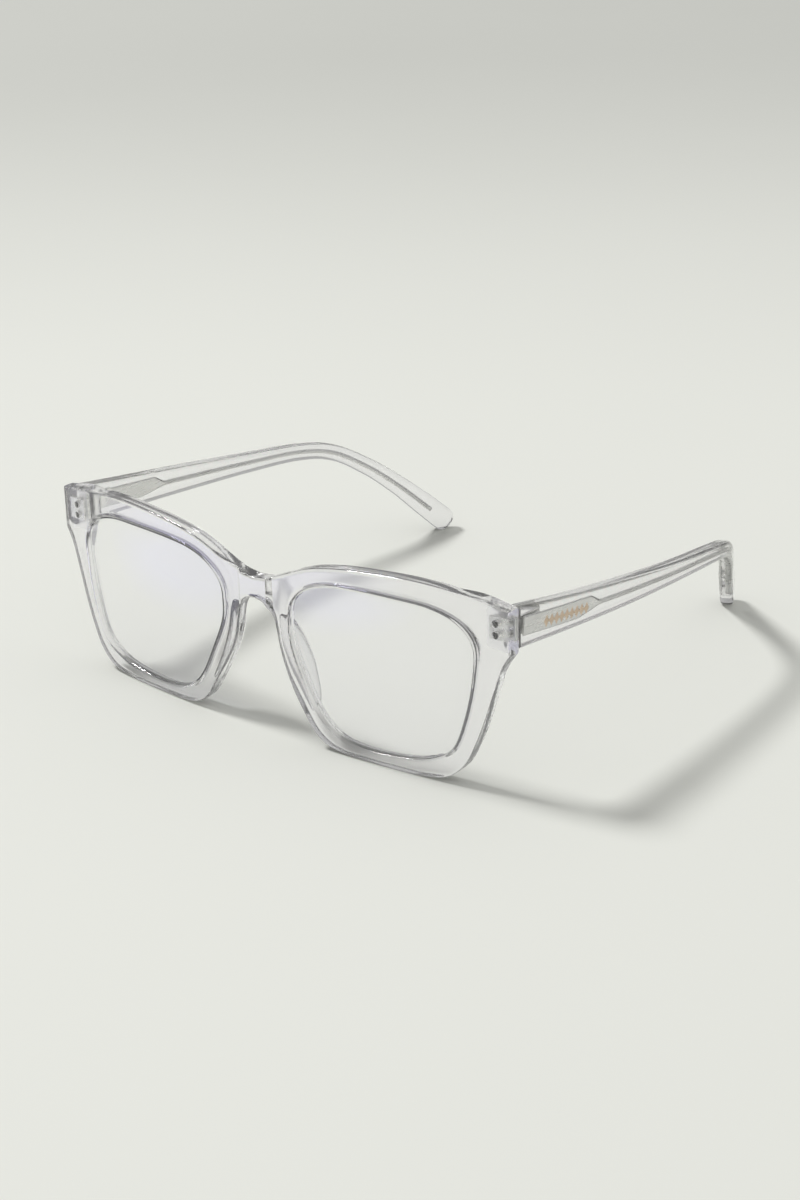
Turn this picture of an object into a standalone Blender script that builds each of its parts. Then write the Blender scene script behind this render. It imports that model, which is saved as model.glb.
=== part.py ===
"""Clear acetate eyeglasses, modelled as the pieces they come apart into on a bench.

X runs across the face (the wearer's left is +X), Y runs back along the temples and Z is up.
The glasses stand open on their two rims and their two temple tips, with the ground at Z = 0.
Outlines and stations below are written in millimetres from the foremost plane of the front.
"""
import math

import bmesh
import bpy
from mathutils import Matrix, Vector

MM = 0.001
CUT_TOLERANCE, MERGE_TOLERANCE, LEAST_FLAT = 0.0001, 0.001, 0.01
SHARP_DEGREES = 30

# Whole object
HALF_WIDTH = 72.0               # centre of the bridge to the outside of an end piece
FRONT_Y = -69.54                # foremost plane of the front, which centres the depth on Y = 0
PART_GAP = 0.15                 # clearance round a piece that is let into another
SIDES = (("left", 1.0), ("right", -1.0))

# Front: a sheet of acetate, milled to an outline and bent round the face
FRONT_THICKNESS = 4.0
FACE_WRAP = 0.0013              # depth in mm is FACE_WRAP * x * x
BEND_STRIP = 6.0                # width of the strips that the sheet bends in
BLOCK_INNER = 62.0              # inner edge of the end piece's thick block
BLOCK_INSET = 0.15
BLOCK_ROOT = 7.6
BLOCK_REAR = 10.9               # flat mitre plane that the temple closes against
END_TOP, END_BOTTOM = 46.3, 35.4

# Right half of the outline, from the top of the bridge round to the arch over the nose
OUTLINE_TOP = ((0.0, 40.2), (5.2, 41.0), (10.2, 43.1), (15.2, 45.3), (21.0, 47.0), (30.0, 48.4),
               (43.5, 49.2), (54.0, 48.9), (64.0, 47.6), (HALF_WIDTH, END_TOP))
OUTLINE_SIDE = ((HALF_WIDTH, END_BOTTOM), (69.6, 31.4), (68.0, 26.6), (65.4, 18.0), (62.8, 11.0),
                (59.7, 5.1), (55.0, 1.2), (48.5, 0.0), (41.0, -0.25), (33.5, -0.1), (26.5, 0.1),
                (21.6, 1.1), (17.4, 4.1), (13.2, 10.4), (9.6, 16.6), (7.2, 22.4), (6.1, 27.4),
                (5.0, 31.5), (2.8, 33.9), (0.0, 34.6))
# Lens opening, round from its nose side
OPENING = ((10.7, 30.6), (11.5, 35.8), (15.4, 40.0), (21.6, 42.5), (30.0, 43.4), (42.0, 43.5),
           (51.4, 43.0), (58.4, 40.6), (62.3, 35.6), (62.1, 27.4), (60.2, 17.8), (56.9, 9.2),
           (50.8, 5.2), (42.0, 3.5), (31.0, 3.3), (24.0, 5.0), (19.0, 9.6), (14.2, 18.6),
           (11.3, 25.6))
OUTLINE_STEPS = 3

# Lenses sit in a groove milled half way through the thickness
LENS_BITE, LENS_THICKNESS = 0.5, 1.8
GROOVE_DEPTH, GROOVE_WIDTH = 0.8, 2.4

# Nose pads: half height stations of (z, inner x, outer x, rear reach, rear shift outwards)
PAD_STATIONS = ((30.6, 6.4, 9.6, 0.9, 0.3), (27.6, 6.5, 10.4, 2.3, 1.1), (24.0, 7.1, 11.1, 3.4, 1.6),
                (20.0, 8.7, 12.3, 4.0, 1.6), (16.0, 10.7, 13.7, 3.8, 1.2), (12.0, 13.0, 15.3, 2.8, 0.9),
                (9.2, 14.8, 16.6, 1.2, 0.4))
PAD_RING = 12
PAD_FULLNESS = 0.8              # below 1 makes the pad's section squarer than a half ellipse

# Temples: stations of the centre line (x, y, z) and the height there
TEMPLE_PATH = ((70.05, 11.1, 40.9, 10.3), (70.9, 30.0, 38.7, 8.7), (71.2, 52.0, 36.3, 7.2),
               (70.6, 74.0, 34.0, 5.6), (69.0, 94.0, 31.9, 4.7), (66.0, 106.0, 29.0, 4.5),
               (61.3, 115.5, 23.0, 4.9), (56.8, 123.0, 16.4, 5.6), (53.1, 129.6, 9.7, 6.6),
               (49.8, 135.6, 3.4, 7.0))
TEMPLE_THICKNESS = 3.8
TEMPLE_EDGE = 1.1               # radius along the long edges
TEMPLE_STEPS = 2
TIP_ROUND = 3.2                 # length over which the tip rounds off
TIP_STEPS, TIP_SWEEP = 4, 4.6    # rings round the tip, and how many would close it
TIP_END_WIDTH, TIP_END_HEIGHT = 0.45, 0.25    # share of the section left where it closes

# Core wires: a flat plate at the hinge end, drawn down to a round wire
WIRE_OFFSET = 0.35              # the wire lies a little outside the middle of the temple
WIRE_FRONT, WIRE_REAR = 12.5, 132.5
PLATE_REAR, POINT_REAR = 35.8, 41.0
PLATE_HEIGHT, PLATE_THICKNESS, WIRE_DIAMETER = 4.8, 0.8, 1.3
WIRE_STEPS, WIRE_CORNER_STEPS = 4, 2
WIRE_CORNER = 1.0               # corner radius, held to half of a thinner section
CHANNEL_LEAD = 1.0              # the channel's mouth stands this far out of the temple's end

# Five-barrel hinges
AXIS_X, AXIS_Y, AXIS_Z = 66.4, 12.5, 40.75
KNUCKLE_PITCH, KNUCKLE_HEIGHT, KNUCKLE_RADIUS = 1.12, 1.0, 1.35
BARREL_BORE, SCREW_RADIUS, BORE_LENGTH = 0.68, 0.6, 8.0
LEAF_THICKNESS = 1.0
ARM_SHARE = 0.8                 # half width of a barrel's arm, as a share of its radius
FRONT_LEAF_INNER, FRONT_LEAF_OUTER, FRONT_LEAF_HALF = 65.0, 70.4, 2.8
PEG_X, PEG_SPREAD, PEG_RADIUS, PEG_LENGTH = 67.3, 1.4, 0.75, 1.5
PEG_SEGMENTS = 12
POCKET_OPEN = 1.5               # how far a pocket's cutter stands out of its open side
TEMPLE_LEAF_END, TEMPLE_LEAF_HALF, TEMPLE_LEAF_SINK = 20.0, 2.2, 0.1
TEMPLE_LEAF_FRONT = 11.35
HEAD_RADIUS, HEAD_HEIGHT, SLOT_WIDTH, SLOT_DEPTH = 1.05, 0.6, 0.3, 0.3
HEAD_RIM, HEAD_TOP = 0.7, 0.85   # height of the head's rim and width of its face, as shares
SCREW_TAIL = 0.25
ROUND_SEGMENTS = 20


def clear_scene():
    for thing in list(bpy.data.objects):
        bpy.data.objects.remove(thing, do_unlink=True)


def new_collection(name):
    collection = bpy.data.collections.new(name)
    bpy.context.scene.collection.children.link(collection)
    return collection


def principled(name, colour, roughness, metallic=0.0, transmission=0.0, ior=1.49):
    material = bpy.data.materials.new(name)
    material.use_nodes = True
    shader = material.node_tree.nodes["Principled BSDF"]
    shader.inputs["Base Color"].default_value = (*colour, 1.0)
    shader.inputs["Roughness"].default_value = roughness
    shader.inputs["Metallic"].default_value = metallic
    shader.inputs["Transmission Weight"].default_value = transmission
    shader.inputs["IOR"].default_value = ior
    return material


# ---------------------------------------------------------------- outlines

def smooth_path(points, steps):
    """A curve through every point (Catmull-Rom), as a list that keeps both ends."""
    points = [Vector(point) for point in points]
    first, last = 2 * points[0] - points[1], 2 * points[-1] - points[-2]
    chain = [first, *points, last]
    path = []
    for before, start, end, after in zip(chain, chain[1:], chain[2:], chain[3:]):
        for step in range(steps):
            path.append(catmull_rom(before, start, end, after, step / steps))
    return path + [points[-1]]


def catmull_rom(before, start, end, after, t):
    linear = (end - before) * t
    square = (2 * before - 5 * start + 4 * end - after) * t ** 2
    cube = (3 * start - before - 3 * end + after) * t ** 3
    return start + 0.5 * (linear + square + cube)


def smooth_loop(points, steps):
    """A closed curve through every point."""
    points = [Vector(point) for point in points]
    count = len(points)
    loop = []
    for index in range(count):
        four = [points[(index + offset) % count] for offset in (-1, 0, 1, 2)]
        loop.extend(catmull_rom(*four, step / steps) for step in range(steps))
    return loop


def offset_loop(loop, distance):
    """The loop moved outwards along its normals."""
    middle = sum(loop, Vector((0.0, 0.0))) / len(loop)
    moved = []
    for index, point in enumerate(loop):
        along = loop[(index + 1) % len(loop)] - loop[index - 1]
        normal = Vector((along.y, -along.x)).normalized()
        if normal.dot(point - middle) < 0:
            normal.negate()
        moved.append(point + normal * distance)
    return moved


def front_loop():
    top = smooth_path(OUTLINE_TOP, OUTLINE_STEPS)
    side = smooth_path(OUTLINE_SIDE, OUTLINE_STEPS)
    half = top + side
    mirrored = [Vector((-point.x, point.y)) for point in reversed(half[1:-1])]
    return half + mirrored


def opening_loop(sign, grow=0.0):
    loop = offset_loop(smooth_loop(OPENING, OUTLINE_STEPS), grow)
    return [Vector((sign * point.x, point.y)) for point in loop]


# ---------------------------------------------------------------- solids

def extruded_outline(loops, thickness):
    """A filled 2D curve, stood up in the XZ plane and made a mesh, from Y = 0 backwards."""
    curve = bpy.data.curves.new("outline", "CURVE")
    curve.dimensions = "2D"
    curve.fill_mode = "BOTH"
    curve.extrude = thickness / 2
    for loop in loops:
        spline = curve.splines.new("POLY")
        spline.points.add(len(loop) - 1)
        for point, place in zip(spline.points, loop):
            point.co = (place.x, place.y, 0.0, 1.0)
        spline.use_cyclic_u = True
    holder = bpy.data.objects.new("outline", curve)
    bpy.context.scene.collection.objects.link(holder)
    evaluated = holder.evaluated_get(bpy.context.evaluated_depsgraph_get())
    mesh = bpy.data.meshes.new_from_object(evaluated)
    bpy.data.objects.remove(holder, do_unlink=True)
    bpy.data.curves.remove(curve)
    solid = bmesh.new()
    solid.from_mesh(mesh)
    bpy.data.meshes.remove(mesh)
    bmesh.ops.remove_doubles(solid, verts=solid.verts, dist=MERGE_TOLERANCE)
    stand_up = Matrix.Rotation(math.radians(90), 4, "X")
    bmesh.ops.transform(solid, matrix=Matrix.Translation((0, thickness / 2, 0)) @ stand_up, verts=solid.verts)
    bmesh.ops.recalc_face_normals(solid, faces=solid.faces)
    return solid


def bend_round_face(solid):
    """Cuts a flat sheet into upright strips and bends it round the face."""
    widest = int(HALF_WIDTH / BEND_STRIP) + 1
    for strip in range(-widest, widest + 1):
        cut_plane(solid, Vector((strip * BEND_STRIP, 0, 0)), Vector((1, 0, 0)))
    bmesh.ops.triangulate(solid, faces=solid.faces)
    for vert in solid.verts:
        vert.co.y += FACE_WRAP * vert.co.x ** 2


def cut_plane(solid, point, normal):
    everything = [*solid.verts, *solid.edges, *solid.faces]
    bmesh.ops.bisect_plane(solid, geom=everything, dist=CUT_TOLERANCE, plane_co=point, plane_no=normal)


def trim_at_ground(solid):
    """Takes off what reaches below Z = 0 and leaves a flat to rest on."""
    everything = [*solid.verts, *solid.edges, *solid.faces]
    bmesh.ops.bisect_plane(solid, geom=everything, dist=CUT_TOLERANCE, plane_co=(0, 0, 0),
                           plane_no=(0, 0, -1), clear_outer=True)
    rim = [edge for edge in solid.edges if edge.is_boundary]
    bmesh.ops.holes_fill(solid, edges=rim)


def box(low, high):
    low, high = Vector(low), Vector(high)
    solid = bmesh.new()
    size = Matrix.Diagonal((*(high - low), 1.0))
    bmesh.ops.create_cube(solid, size=1.0, matrix=Matrix.Translation((low + high) / 2) @ size)
    return solid


def cylinder(centre, radius, length, axis="Z", segments=ROUND_SEGMENTS):
    turn = Matrix.Rotation(math.radians(90), 4, "X") if axis == "Y" else Matrix.Identity(4)
    solid = bmesh.new()
    bmesh.ops.create_cone(solid, cap_ends=True, segments=segments, radius1=radius, radius2=radius,
                          depth=length, matrix=Matrix.Translation(centre) @ turn)
    return solid


def circle(centre, radius, segments=ROUND_SEGMENTS):
    """Points round a level circle, turned half a step so that no point lies on an axis."""
    ring = []
    for index in range(segments):
        angle = 2 * math.pi * (index + 0.5) / segments
        ring.append(Vector(centre) + Vector((radius * math.cos(angle), radius * math.sin(angle), 0.0)))
    return ring


def loft(rings):
    """A solid skinned over rings that all have the same number of points."""
    solid = bmesh.new()
    rows = [[solid.verts.new(point) for point in ring] for ring in rings]
    count = len(rings[0])
    for row, following in zip(rows, rows[1:]):
        for index in range(count):
            nearby = (index + 1) % count
            solid.faces.new((row[index], row[nearby], following[nearby], following[index]))
    solid.faces.new(list(reversed(rows[0])))
    solid.faces.new(rows[-1])
    bmesh.ops.recalc_face_normals(solid, faces=solid.faces)
    return solid


def mirrored_x(solid):
    bmesh.ops.transform(solid, matrix=Matrix.Diagonal((-1, 1, 1, 1)), verts=solid.verts)
    bmesh.ops.reverse_faces(solid, faces=solid.faces)
    return solid


# ---------------------------------------------------------------- objects

class Assembly:
    """Holds the two collections and puts finished solids into them."""

    def __init__(self):
        self.parts = new_collection("eyeglasses")
        self.cutters = new_collection("eyeglasses_cutters")

    def add(self, name, solid, material, sign=1.0, parent=None):
        """Makes one object, in metres, from a solid in millimetres drawn for the left side."""
        if sign < 0:
            mirrored_x(solid)
        origin = Vector(parent.location) if parent else Vector((0, FRONT_Y * MM, 0))
        to_world = Matrix.Translation((0, FRONT_Y * MM, 0)) @ Matrix.Scale(MM, 4)
        bmesh.ops.transform(solid, matrix=Matrix.Translation(-origin) @ to_world, verts=solid.verts)
        bmesh.ops.triangulate(solid, faces=solid.faces)
        mesh = bpy.data.meshes.new(name)
        solid.to_mesh(mesh)
        solid.free()
        mesh.shade_smooth()
        mesh.set_sharp_from_angle(angle=math.radians(SHARP_DEGREES))
        mesh.materials.append(material)
        thing = bpy.data.objects.new(name, mesh)
        self.parts.objects.link(thing)
        if parent:
            thing.parent = parent
        else:
            thing.location = origin
        return thing

    def add_cutter(self, name, solid, target, sign=1.0, operation="DIFFERENCE"):
        """Makes a tool object on the target's origin and a Boolean on the target that uses it."""
        cutter = self.add(name, solid, target.data.materials[0], sign, target.parent)
        self.parts.objects.unlink(cutter)
        self.cutters.objects.link(cutter)
        cutter.hide_render = True
        cutter.display_type = "WIRE"
        boolean = target.modifiers.new(name, "BOOLEAN")
        boolean.operation = operation
        boolean.solver = "EXACT"
        boolean.object = cutter

    def hinge_empty(self, side, sign):
        """An empty on the hinge's axis, which everything on that temple hangs from."""
        empty = bpy.data.objects.new(f"temple_{side}_axis", None)
        empty.location = (sign * AXIS_X * MM, (FRONT_Y + AXIS_Y) * MM, AXIS_Z * MM)
        empty.empty_display_size = 0.01
        self.parts.objects.link(empty)
        return empty


# ---------------------------------------------------------------- front

def build_front(assembly, acetate):
    loops = [front_loop(), opening_loop(1.0), opening_loop(-1.0)]
    sheet = extruded_outline(loops, FRONT_THICKNESS)
    bend_round_face(sheet)
    trim_at_ground(sheet)
    front = assembly.add("front_frame", sheet, acetate)
    for side, sign in SIDES:
        assembly.add_cutter(f"end_block_{side}", end_block(), front, sign, "UNION")
        assembly.add_cutter(f"groove_{side}", lens_plate(GROOVE_DEPTH, GROOVE_WIDTH), front, sign)
        for index, pocket in enumerate(front_leaf_solids(PART_GAP)):
            assembly.add_cutter(f"leaf_pocket_{side}_{index}", pocket, front, sign)
    return front


def end_block():
    """The thick block behind each end piece, which gives the temple a flat face to close on."""
    outer, top, bottom = HALF_WIDTH - BLOCK_INSET, END_TOP - BLOCK_INSET, END_BOTTOM + BLOCK_INSET
    corners = ((BLOCK_INNER, bottom), (outer, bottom), (outer, top), (BLOCK_INNER, top))
    solid = extruded_outline([[Vector(corner) for corner in corners]], BLOCK_REAR - BLOCK_ROOT)
    bmesh.ops.translate(solid, vec=(0, BLOCK_ROOT, 0), verts=solid.verts)
    return solid


def lens_plate(grow, thickness):
    """A bent plate with the opening's outline, centred in the thickness of the front."""
    solid = extruded_outline([opening_loop(1.0, grow)], thickness)
    bmesh.ops.translate(solid, vec=(0, (FRONT_THICKNESS - thickness) / 2, 0), verts=solid.verts)
    bend_round_face(solid)
    return solid


def nose_pad():
    """A moulded pad cemented behind the rim beside the nose, leaning away from the nose."""
    rings = []
    base = FRONT_THICKNESS + PART_GAP
    for height, inner, outer, reach, shift in PAD_STATIONS:
        ring = []
        middle, half = (inner + outer) / 2, (outer - inner) / 2
        for index in range(PAD_RING):
            angle = math.pi * index / (PAD_RING - 1)
            rise = max(math.sin(angle), 0.0) ** PAD_FULLNESS
            across = middle - half * math.cos(angle) + shift * rise
            ring.append((across, base + reach * rise + FACE_WRAP * across ** 2, height))
        rings.append(ring)
    return loft(rings)


# ---------------------------------------------------------------- temples

def temple_stations(steps):
    """Centre points with their height, and the tangent, side and up directions at each."""
    line = smooth_path([Vector(station) for station in TEMPLE_PATH], steps)
    stations = []
    for index, point in enumerate(line):
        before, after = line[max(index - 1, 0)], line[min(index + 1, len(line) - 1)]
        tangent = (after - before).to_3d().normalized() if index else Vector((0, 1, 0))
        side = tangent.cross(Vector((0, 0, 1))).normalized()
        stations.append((point.to_3d(), point.w, tangent, side, side.cross(tangent)))
    return stations


def rounded_ring(centre, side, up, width, height, edge, steps=3):
    """A rectangle with rounded corners, in the plane of side and up."""
    ring = []
    edge = min(edge, width / 2 - LEAST_FLAT, height / 2 - LEAST_FLAT)
    for quarter in range(4):
        for step in range(steps + 1):
            angle = math.pi / 2 * (quarter + step / steps)
            corner_x = (width / 2 - edge) * (1 if quarter in (0, 3) else -1)
            corner_y = (height / 2 - edge) * (1 if quarter in (0, 1) else -1)
            across = corner_x + edge * math.cos(angle)
            along = corner_y + edge * math.sin(angle)
            ring.append(centre + side * across + up * along)
    return ring


def temple_body():
    rings = []
    stations = temple_stations(TEMPLE_STEPS)
    for centre, height, _, side, up in stations:
        rings.append(rounded_ring(centre, side, up, TEMPLE_THICKNESS, height, TEMPLE_EDGE))
    centre, height, tangent, side, up = stations[-1]
    for step in range(1, TIP_STEPS + 1):
        angle = math.pi / 2 * step / TIP_SWEEP
        shrink = math.cos(angle)
        ahead = centre + tangent * TIP_ROUND * math.sin(angle)
        width = TEMPLE_THICKNESS * (TIP_END_WIDTH + (1 - TIP_END_WIDTH) * shrink)
        tall = height * (TIP_END_HEIGHT + (1 - TIP_END_HEIGHT) * shrink)
        rings.append(rounded_ring(ahead, side, up, width, tall, TEMPLE_EDGE))
    solid = loft(rings)
    bmesh.ops.triangulate(solid, faces=solid.faces)
    trim_at_ground(solid)
    return solid


def core_wire(grow):
    """The plate and wire inside a temple, or with grow the channel that holds them."""
    stations = temple_stations(WIRE_STEPS)
    rings = []
    for centre, _, _, side, up in stations:
        if WIRE_FRONT < centre.y < WIRE_REAR:
            width, height = wire_section(centre.y)
            middle = centre + side * WIRE_OFFSET
            width, height = width + 2 * grow, height + 2 * grow
            rings.append(rounded_ring(middle, side, up, width, height, WIRE_CORNER, WIRE_CORNER_STEPS))
    if not grow:
        return loft(rings)
    mouth = [Vector((point.x, TEMPLE_PATH[0][1] - CHANNEL_LEAD, point.z)) for point in rings[0]]
    end = [point + stations[-1][2] * grow for point in rings[-1]]
    return loft([mouth, *rings, end])


def wire_section(depth):
    """Width and height of the core at a depth behind the front."""
    draw = min(max((depth - PLATE_REAR) / (POINT_REAR - PLATE_REAR), 0.0), 1.0)
    width = PLATE_THICKNESS + (WIRE_DIAMETER - PLATE_THICKNESS) * draw
    return width, PLATE_HEIGHT + (WIRE_DIAMETER - PLATE_HEIGHT) * draw


def build_temple(assembly, side, sign, acetate, steel):
    axis = assembly.hinge_empty(side, sign)
    temple = assembly.add(f"temple_{side}", temple_body(), acetate, sign, axis)
    assembly.add_cutter(f"channel_{side}", core_wire(PART_GAP), temple, sign)
    pocket = temple_leaf_plate(PART_GAP)
    assembly.add_cutter(f"temple_pocket_{side}", pocket, temple, sign)
    assembly.add(f"core_wire_{side}", core_wire(0.0), steel, sign, axis)
    leaf = assembly.add(f"hinge_temple_leaf_{side}", temple_leaf_plate(0.0), steel, sign, axis)
    for index in (1, 3):
        add_knuckle(assembly, leaf, side, sign, index, temple_knuckle_arm(index))
    assembly.add_cutter(f"temple_bore_{side}", hinge_bore(), leaf, sign)


# ---------------------------------------------------------------- hinges

def knuckle_height(index):
    """Middle of one of the five barrels, counted from the top."""
    return AXIS_Z + (2 - index) * KNUCKLE_PITCH


def hinge_bore():
    return cylinder((AXIS_X, AXIS_Y, AXIS_Z), BARREL_BORE, BORE_LENGTH)


def add_knuckle(assembly, leaf, side, sign, index, arm):
    """Joins one barrel, and the arm that ties it to its plate, onto a leaf."""
    name = f"{leaf.name}_barrel_{index}"
    barrel = cylinder((AXIS_X, AXIS_Y, knuckle_height(index)), KNUCKLE_RADIUS, KNUCKLE_HEIGHT)
    assembly.add_cutter(f"{name}_arm", arm, leaf, sign, "UNION")
    assembly.add_cutter(name, barrel, leaf, sign, "UNION")


def front_leaf_solids(grow):
    """The plate and its two pegs, or with grow the pockets they sit in."""
    rear = BLOCK_REAR + (POCKET_OPEN if grow else 0.0)
    low = (FRONT_LEAF_INNER - grow, BLOCK_REAR - LEAF_THICKNESS - grow, AXIS_Z - FRONT_LEAF_HALF - grow)
    high = (FRONT_LEAF_OUTER + grow, rear, AXIS_Z + FRONT_LEAF_HALF + grow)
    solids = [box(low, high)]
    tip = BLOCK_REAR - LEAF_THICKNESS - PEG_LENGTH - grow
    root = BLOCK_REAR - LEAF_THICKNESS / 2
    for sign in (1, -1):
        centre = (PEG_X, (tip + root) / 2, AXIS_Z + sign * PEG_SPREAD)
        solids.append(cylinder(centre, PEG_RADIUS + grow, root - tip, "Y", PEG_SEGMENTS))
    return solids


def front_knuckle_arm(index):
    half, middle = KNUCKLE_HEIGHT / 2, knuckle_height(index)
    reach = KNUCKLE_RADIUS * ARM_SHARE
    low = (AXIS_X - reach, BLOCK_REAR - LEAF_THICKNESS / 2, middle - half)
    return box(low, (AXIS_X + reach, AXIS_Y, middle + half))


def temple_knuckle_arm(index):
    half, middle = KNUCKLE_HEIGHT / 2, knuckle_height(index)
    reach = KNUCKLE_RADIUS * ARM_SHARE
    inner_face = TEMPLE_PATH[0][0] - TEMPLE_THICKNESS / 2
    low = (AXIS_X, AXIS_Y - reach, middle - half)
    return box(low, (inner_face + LEAF_THICKNESS / 2, AXIS_Y + reach, middle + half))


def build_front_leaf(assembly, side, sign, steel):
    plate, *pegs = front_leaf_solids(0.0)
    leaf = assembly.add(f"hinge_front_leaf_{side}", plate, steel, sign)
    for index, peg in enumerate(pegs):
        assembly.add_cutter(f"{leaf.name}_peg_{index}", peg, leaf, sign, "UNION")
    for index in (0, 2, 4):
        add_knuckle(assembly, leaf, side, sign, index, front_knuckle_arm(index))
    assembly.add_cutter(f"front_bore_{side}", hinge_bore(), leaf, sign)


def temple_leaf_plate(grow):
    """The plate let into the inner face of the temple, or with grow its pocket."""
    inner_face = TEMPLE_PATH[0][0] - TEMPLE_THICKNESS / 2 - TEMPLE_LEAF_SINK
    open_side = POCKET_OPEN if grow else 0.0
    low = (inner_face - open_side, TEMPLE_LEAF_FRONT - open_side, AXIS_Z - TEMPLE_LEAF_HALF - grow)
    high = (inner_face + LEAF_THICKNESS + grow, TEMPLE_LEAF_END + grow, AXIS_Z + TEMPLE_LEAF_HALF + grow)
    return box(low, high)


def build_screw(assembly, side, sign, steel):
    """A slotted screw, dropped in from above through all five barrels."""
    top = knuckle_height(0) + KNUCKLE_HEIGHT / 2 + PART_GAP
    bottom = knuckle_height(4) - KNUCKLE_HEIGHT / 2 - SCREW_TAIL
    profile = ((SCREW_RADIUS, bottom), (SCREW_RADIUS, top), (HEAD_RADIUS, top),
               (HEAD_RADIUS, top + HEAD_HEIGHT * HEAD_RIM), (HEAD_RADIUS * HEAD_TOP, top + HEAD_HEIGHT))
    rings = [circle((AXIS_X, AXIS_Y, height), radius) for radius, height in profile]
    screw = assembly.add(f"hinge_screw_{side}", loft(rings), steel, sign)
    face = top + HEAD_HEIGHT
    low = (AXIS_X - 2 * HEAD_RADIUS, AXIS_Y - SLOT_WIDTH / 2, face - SLOT_DEPTH)
    slot = box(low, (AXIS_X + 2 * HEAD_RADIUS, AXIS_Y + SLOT_WIDTH / 2, face + SLOT_DEPTH))
    assembly.add_cutter(f"screw_slot_{side}", slot, screw, sign)


def main():
    clear_scene()
    acetate = principled("clear_acetate", (0.93, 0.94, 0.93), 0.03, transmission=1.0)
    lens = principled("coated_lens", (0.96, 0.97, 1.0), 0.0, transmission=1.0, ior=1.5)
    steel = principled("nickel_steel", (0.62, 0.62, 0.60), 0.25, metallic=1.0)
    assembly = Assembly()
    build_front(assembly, acetate)
    for side, sign in SIDES:
        assembly.add(f"lens_{side}", lens_plate(LENS_BITE, LENS_THICKNESS), lens, sign)
        assembly.add(f"nose_pad_{side}", nose_pad(), acetate, sign)
        build_front_leaf(assembly, side, sign, steel)
        build_screw(assembly, side, sign, steel)
        build_temple(assembly, side, sign, acetate, steel)


main()
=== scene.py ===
"""Clear acetate eyeglasses: the looks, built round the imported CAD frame.

Shapes are drawn in the plan's millimetres (x across the face, y back from the foremost plane
of the front, z up) and moved into the row frame, in metres, when they become pieces.
"""
import math

import bmesh
import bpy
from mathutils import Matrix, Vector


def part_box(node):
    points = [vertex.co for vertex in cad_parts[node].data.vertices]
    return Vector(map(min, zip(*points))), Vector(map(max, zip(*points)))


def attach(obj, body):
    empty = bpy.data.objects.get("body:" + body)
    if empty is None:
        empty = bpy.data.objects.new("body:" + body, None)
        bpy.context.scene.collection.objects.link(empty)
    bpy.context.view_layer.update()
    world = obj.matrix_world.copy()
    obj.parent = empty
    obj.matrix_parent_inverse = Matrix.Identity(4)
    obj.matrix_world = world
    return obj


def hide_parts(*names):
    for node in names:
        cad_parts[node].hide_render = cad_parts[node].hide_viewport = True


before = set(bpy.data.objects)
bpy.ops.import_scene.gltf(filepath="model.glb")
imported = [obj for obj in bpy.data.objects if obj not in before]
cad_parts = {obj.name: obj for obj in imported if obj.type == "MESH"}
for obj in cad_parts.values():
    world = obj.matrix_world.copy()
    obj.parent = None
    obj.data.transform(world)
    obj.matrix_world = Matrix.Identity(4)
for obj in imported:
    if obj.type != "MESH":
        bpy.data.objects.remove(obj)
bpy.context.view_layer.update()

MM = 0.001
FRONT_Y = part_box("front_frame")[0].y / MM
SIDES = (("left", 1.0), ("right", -1.0))        # the wearer's; the plan draws the left one

# ---------------------------------------------------------------- the plan, as in the CAD source
HALF_WIDTH = 72.0               # centre of the bridge to the outside of an end piece
FRONT_THICKNESS = 4.0
FACE_WRAP = 0.0013              # depth in mm is FACE_WRAP * x * x
END_TOP, END_BOTTOM = 46.3, 35.4
OUTLINE_TOP = (
    (0.0, 40.2), (5.2, 41.0), (10.2, 43.1), (15.2, 45.3), (21.0, 47.0), (30.0, 48.4),
    (43.5, 49.2), (54.0, 48.9), (64.0, 47.6), (HALF_WIDTH, END_TOP))
OUTLINE_SIDE = (
    (HALF_WIDTH, END_BOTTOM), (69.6, 31.4), (68.0, 26.6), (65.4, 18.0), (62.8, 11.0),
    (59.7, 5.1), (55.0, 1.2), (48.5, 0.0), (41.0, -0.25), (33.5, -0.1), (26.5, 0.1),
    (21.6, 1.1), (17.4, 4.1), (13.2, 10.4), (9.6, 16.6), (7.2, 22.4), (6.1, 27.4),
    (5.0, 31.5), (2.8, 33.9), (0.0, 34.6))
OPENING = (
    (10.7, 30.6), (11.5, 35.8), (15.4, 40.0), (21.6, 42.5), (30.0, 43.4), (42.0, 43.5),
    (51.4, 43.0), (58.4, 40.6), (62.3, 35.6), (62.1, 27.4), (60.2, 17.8), (56.9, 9.2),
    (50.8, 5.2), (42.0, 3.5), (31.0, 3.3), (24.0, 5.0), (19.0, 9.6), (14.2, 18.6),
    (11.3, 25.6))
TEMPLE_PATH = (                 # x, y and z of the middle, and the height of the section
    (70.05, 11.1, 40.9, 10.3), (70.9, 30.0, 38.7, 8.7), (71.2, 52.0, 36.3, 7.2),
    (70.6, 74.0, 34.0, 5.6), (69.0, 94.0, 31.9, 4.7), (66.0, 106.0, 29.0, 4.5),
    (61.3, 115.5, 23.0, 4.9), (56.8, 123.0, 16.4, 5.6), (53.1, 129.6, 9.7, 6.6),
    (49.8, 135.6, 3.4, 7.0))
TEMPLE_THICKNESS = 3.8
TEMPLE_EDGE = 1.1               # radius along the long edges
WIRE_OFFSET = 0.35              # the wire lies a little outside the middle of the temple
WIRE_FRONT, WIRE_REAR = 12.5, 132.5
PLATE_HEIGHT, PLATE_THICKNESS, WIRE_DIAMETER = 4.8, 0.8, 1.3
AXIS_Z = 40.75                  # height of the middle of a hinge
PEG_X, PEG_SPREAD = 67.3, 1.4
PEG_HOLE_RADIUS, PEG_HOLE_TIP = 0.9, 8.25       # the CAD's peg and the gap round it

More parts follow.
